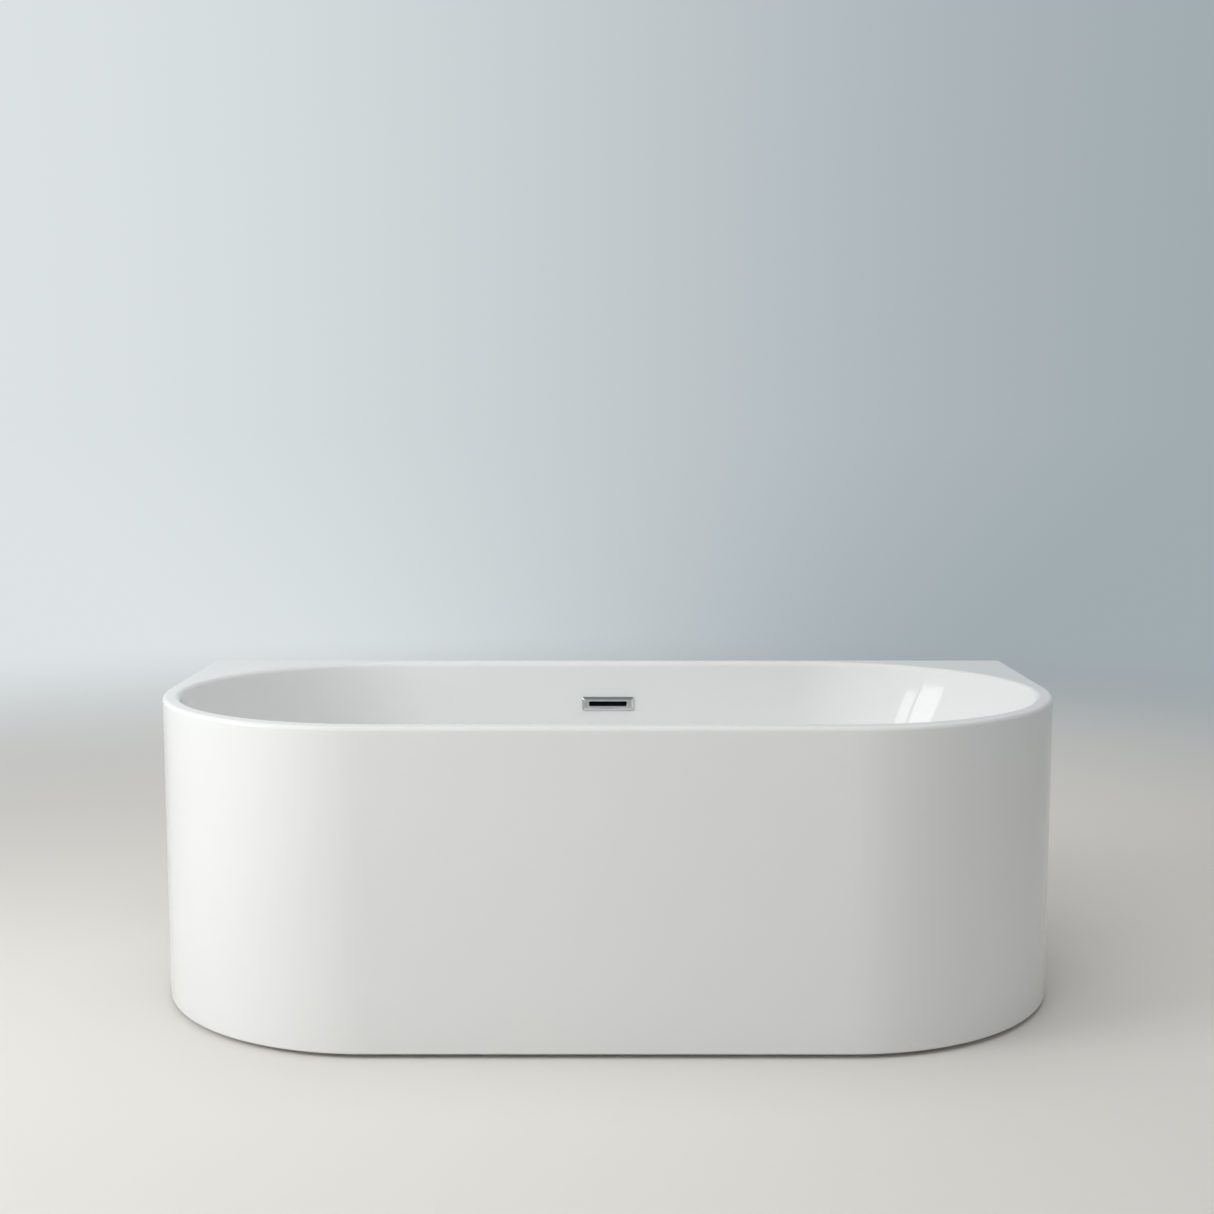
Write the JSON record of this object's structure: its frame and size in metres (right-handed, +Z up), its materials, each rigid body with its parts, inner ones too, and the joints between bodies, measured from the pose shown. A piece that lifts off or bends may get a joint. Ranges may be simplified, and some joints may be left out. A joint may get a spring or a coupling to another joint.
{
  "type": "bathtub",
  "caption": "Back-to-wall bathtub with round front corners, oval basin, slotted overflow, click plug, trap and screw levelling feet under a plain skirt.",
  "frame": {"origin": "on the floor under the middle of the tub's bounding box, midway between its ends and between its front and the wall", "axes": "+X along the tub to the right of a person facing it, +Y towards the wall, +Z up"},
  "size_m": [1.7, 0.8, 0.58],
  "materials": {
    "acrylic": "gloss white",
    "board": "raw board",
    "galvanised_steel": "galvanised",
    "zinc_plated_steel": "bright zinc",
    "foot_plastic": "matte black",
    "chrome": "polished",
    "seal_rubber": "matte black",
    "dark_plastic": "matte black",
    "pipe_plastic": "satin white",
    "nut_plastic": "satin grey"
  },
  "bodies": {
    "tub": {"basin_shell": "acrylic", "outer_skirt": "acrylic", "base_board": "board", "deck_board_left": "board", "deck_board_right": "board", "leg_bar_left": "galvanised_steel", "leg_bar_right": "galvanised_steel", "centre_foot_plate": "galvanised_steel", "skirt_brackets": "galvanised_steel", "leg_screws": "zinc_plated_steel", "bracket_bolts": "zinc_plated_steel", "overflow_screws": "zinc_plated_steel", "foot_weld_nuts": "zinc_plated_steel", "foot_lock_nuts": "zinc_plated_steel", "overflow_cover": "chrome", "drain_flange": "chrome", "overflow_gasket": "seal_rubber", "drain_seal": "seal_rubber", "waste_gasket": "seal_rubber", "overflow_retainer": "dark_plastic", "overflow_housing": "dark_plastic", "waste_body": "dark_plastic", "click_cartridge": "dark_plastic", "overflow_pipe": "pipe_plastic", "trap_pot": "pipe_plastic", "outlet_elbow": "pipe_plastic", "outlet_pipe": "pipe_plastic", "overflow_pipe_nut": "nut_plastic", "trap_union_nut": "nut_plastic", "outlet_nuts": "nut_plastic"},
    "plug": {"plug_cap": "chrome", "plug_seal": "seal_rubber", "plug_stem": "zinc_plated_steel", "plug_clip": "zinc_plated_steel"},
    "foot_front_left_pad": {"foot_front_left_pad": "foot_plastic"},
    "foot_front_left_stud": {"foot_front_left_stud": "zinc_plated_steel"},
    "foot_front_right_pad": {"foot_front_right_pad": "foot_plastic"},
    "foot_front_right_stud": {"foot_front_right_stud": "zinc_plated_steel"},
    "foot_back_left_pad": {"foot_back_left_pad": "foot_plastic"},
    "foot_back_left_stud": {"foot_back_left_stud": "zinc_plated_steel"},
    "foot_back_right_pad": {"foot_back_right_pad": "foot_plastic"},
    "foot_back_right_stud": {"foot_back_right_stud": "zinc_plated_steel"},
    "foot_centre_pad": {"foot_centre_pad": "foot_plastic"},
    "foot_centre_stud": {"foot_centre_stud": "zinc_plated_steel"}
  },
  "joints": [
    {"name": "plug_click", "type": "slide", "parent": "tub", "child": "plug", "axis": [0, 0, 1], "range_m": [0, 0.01]},
    {"name": "foot_front_left_height", "type": "slide", "parent": "tub", "child": "foot_front_left_pad", "axis": [0, 0, 1], "range_m": [-0.01487, 0.007]},
    {"name": "foot_front_left_turn", "type": "hinge", "parent": "foot_front_left_pad", "child": "foot_front_left_stud", "pos_m": [-0.459, -0.29, 0.05], "axis": [0, 0, 1], "range_deg": [-3065, 1445]},
    {"name": "foot_front_right_height", "type": "slide", "parent": "tub", "child": "foot_front_right_pad", "axis": [0, 0, 1], "range_m": [-0.01487, 0.007]},
    {"name": "foot_front_right_turn", "type": "hinge", "parent": "foot_front_right_pad", "child": "foot_front_right_stud", "pos_m": [0.459, -0.29, 0.05], "axis": [0, 0, 1], "range_deg": [-3065, 1445]},
    {"name": "foot_back_left_height", "type": "slide", "parent": "tub", "child": "foot_back_left_pad", "axis": [0, 0, 1], "range_m": [-0.01487, 0.007]},
    {"name": "foot_back_left_turn", "type": "hinge", "parent": "foot_back_left_pad", "child": "foot_back_left_stud", "pos_m": [-0.459, 0.29, 0.05], "axis": [0, 0, 1], "range_deg": [-3065, 1445]},
    {"name": "foot_back_right_height", "type": "slide", "parent": "tub", "child": "foot_back_right_pad", "axis": [0, 0, 1], "range_m": [-0.01487, 0.007]},
    {"name": "foot_back_right_turn", "type": "hinge", "parent": "foot_back_right_pad", "child": "foot_back_right_stud", "pos_m": [0.459, 0.29, 0.05], "axis": [0, 0, 1], "range_deg": [-3065, 1445]},
    {"name": "foot_centre_height", "type": "slide", "parent": "tub", "child": "foot_centre_pad", "axis": [0, 0, 1], "range_m": [-0.01487, 0.007]},
    {"name": "foot_centre_turn", "type": "hinge", "parent": "foot_centre_pad", "child": "foot_centre_stud", "pos_m": [0, -0.15, 0.05], "axis": [0, 0, 1], "range_deg": [-3065, 1445]}
  ],
  "couplings": [
    {"joint": "foot_front_left_turn", "follows": "foot_front_left_height", "rad_per_m": 3590.4},
    {"joint": "foot_front_right_turn", "follows": "foot_front_right_height", "rad_per_m": 3590.4},
    {"joint": "foot_back_left_turn", "follows": "foot_back_left_height", "rad_per_m": 3590.4},
    {"joint": "foot_back_right_turn", "follows": "foot_back_right_height", "rad_per_m": 3590.4},
    {"joint": "foot_centre_turn", "follows": "foot_centre_height", "rad_per_m": 3590.4}
  ]
}
